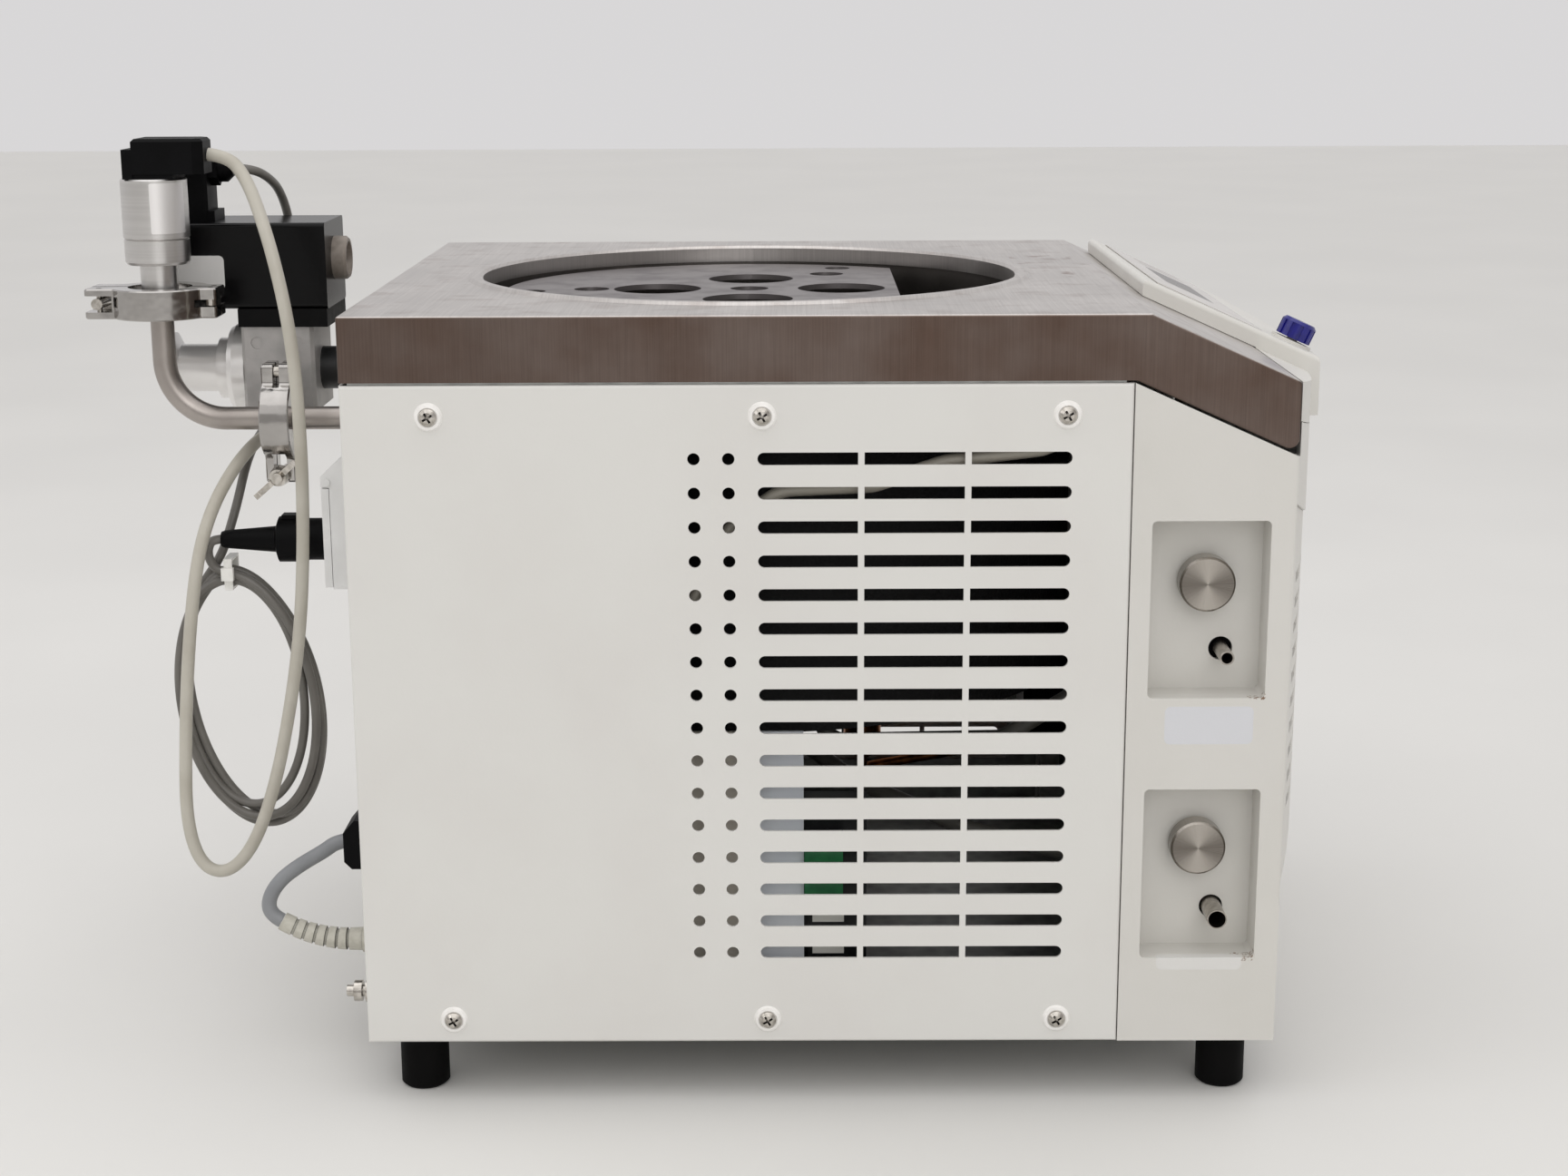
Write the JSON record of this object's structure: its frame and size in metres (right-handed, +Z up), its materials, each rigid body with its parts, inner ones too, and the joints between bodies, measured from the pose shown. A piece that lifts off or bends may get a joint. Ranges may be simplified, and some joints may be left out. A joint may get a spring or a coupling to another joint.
{
  "type": "bench-top freeze dryer",
  "caption": "Bench-top freeze dryer with a steel deck, round ice chamber, valve pockets in the front cheek and vacuum gauge and valve behind.",
  "frame": {"origin": "on the bench, under the middle of the cabinet (half its width, half way from the rear wall to the front corners)", "axes": "+Z up, the front faces -Y, +X is the operator's right, the rear vacuum fittings point to +Y"},
  "size_m": [0.3974, 0.6631, 0.4805],
  "materials": {
    "black_can": "satin black paint",
    "black_gloss": "glossy moulding",
    "black_metal": "satin black",
    "black_plastic": "fine texture",
    "black_rubber": "moulded rubber",
    "blue_grey_plate": "smooth paint",
    "blue_knob": "glossy blue",
    "brushed_deck": "brushed stainless",
    "cast_clamp": "polished casting",
    "copper": "drawn copper",
    "cream_jacket": "smooth jacket",
    "cream_moulding": "fine matt moulding",
    "cream_paint": "fine matt powder coat",
    "cream_sleeve": "moulded sleeve",
    "fin_aluminium": "pressed aluminium",
    "foam": "closed-cell foam",
    "gauge_aluminium": "satin turned",
    "green_board": "glass-fibre board",
    "grey_brown_plastic": "fine texture",
    "grey_film": "polyester film",
    "grey_jacket": "matt jacket",
    "light_grey_plastic": "smooth moulding",
    "nickel_screws": "bright nickel plate",
    "plate_steel": "satin stainless",
    "port_aluminium": "turned",
    "pot_steel": "satin stainless",
    "tube_steel": "satin tube",
    "turned_steel": "turned stainless",
    "valve_brass": "machined brass",
    "valve_grey": "grey casting",
    "white_cups": "smooth white",
    "white_nylon": "smooth nylon",
    "zinc_frame": "bare galvanised sheet",
    "zinc_pan": "bare galvanised sheet"
  },
  "bodies": {
    "cabinet": {"base_pan": "zinc_pan", "inner_frame": "zinc_frame", "rear_panel": "cream_paint", "left_side_panel": "cream_paint", "right_side_panel": "cream_paint", "front_casing": "cream_moulding", "front_grille": "cream_moulding", "steel_deck": "brushed_deck", "rubber_feet": "black_rubber", "panel_screws": "nickel_screws", "cup_washers": "white_cups", "chamber_pot": "pot_steel", "pot_insulation": "foam", "baffle_plate": "plate_steel", "evaporator_coil": "pot_steel", "compressor": "black_can", "compressor_mounts": "black_rubber", "condenser_core": "fin_aluminium", "fan_shroud": "zinc_frame", "fan_motor": "black_can", "refrigerant_lines": "copper", "electrics_plate": "blue_grey_plate", "terminal_board": "green_board", "control_housing": "cream_moulding", "membrane_panel": "grey_film", "pocket_valves": "valve_brass", "aeration_nozzle": "turned_steel", "drain_nozzle": "turned_steel", "port_tube": "tube_steel", "elbow_tube": "tube_steel", "centring_rings": "cast_clamp", "gauge_body": "gauge_aluminium", "gauge_plug": "black_plastic", "gauge_clamp_halves": "cast_clamp", "port_clamp_halves": "cast_clamp", "clamp_fasteners": "nickel_screws", "valve_block": "valve_grey", "valve_cap": "black_metal", "solenoid_coil": "black_gloss", "override_plug": "grey_brown_plastic", "valve_connector": "black_plastic", "valve_port": "port_aluminium", "gauge_cable": "cream_jacket", "valve_cable": "grey_jacket", "valve_cable_hank": "grey_jacket", "cable_tie": "white_nylon", "hank_plug": "black_plastic", "plug_socket": "light_grey_plastic", "socket_frame": "light_grey_plastic", "power_lead": "grey_jacket", "lead_connector": "black_plastic", "strain_relief": "cream_sleeve", "wall_fittings": "nickel_screws"},
    "aeration_knob": {"aeration_knob": "turned_steel"},
    "drain_knob": {"drain_knob": "turned_steel"},
    "encoder": {"encoder_shaft": "pot_steel"},
    "control_knob": {"control_knob": "blue_knob"},
    "gauge_clamp_nut": {"gauge_clamp_nut": "nickel_screws"},
    "port_clamp_nut": {"port_clamp_nut": "nickel_screws"},
    "fan": {"fan_rotor": "fin_aluminium"}
  },
  "joints": [
    {"name": "aeration_valve", "type": "hinge", "parent": "cabinet", "child": "aeration_knob", "pos_m": [-0.18, -0.1903, 0.2695], "axis": [-1, 0, 0], "range_deg": [0, 720]},
    {"name": "drain_valve", "type": "hinge", "parent": "cabinet", "child": "drain_knob", "pos_m": [-0.18, -0.1903, 0.1331], "axis": [-1, 0, 0], "range_deg": [0, 720]},
    {"name": "dial_press", "type": "slide", "parent": "cabinet", "child": "encoder", "axis": [0, 0.4123, -0.911], "range_m": [0, 0.0005], "stiffness_N_per_m": 6000, "springref_m": -0.0003},
    {"name": "dial_turn", "type": "hinge", "parent": "encoder", "child": "control_knob", "pos_m": [-0.048, -0.25466, 0.37036], "axis": [0, -0.4123, 0.911], "continuous": true},
    {"name": "gauge_clamp_screw", "type": "hinge", "parent": "cabinet", "child": "gauge_clamp_nut", "pos_m": [-0.022, 0.3846, 0.3937], "axis": [1, 0, 0], "range_deg": [0, 720]},
    {"name": "port_clamp_screw", "type": "hinge", "parent": "cabinet", "child": "port_clamp_nut", "pos_m": [-0.055, 0.292, 0.2999], "axis": [-1, 0, 0], "range_deg": [0, 720]},
    {"name": "fan_spin", "type": "hinge", "parent": "cabinet", "child": "fan", "pos_m": [0.035, -0.166, 0.15], "axis": [0, 1, 0], "continuous": true}
  ]
}
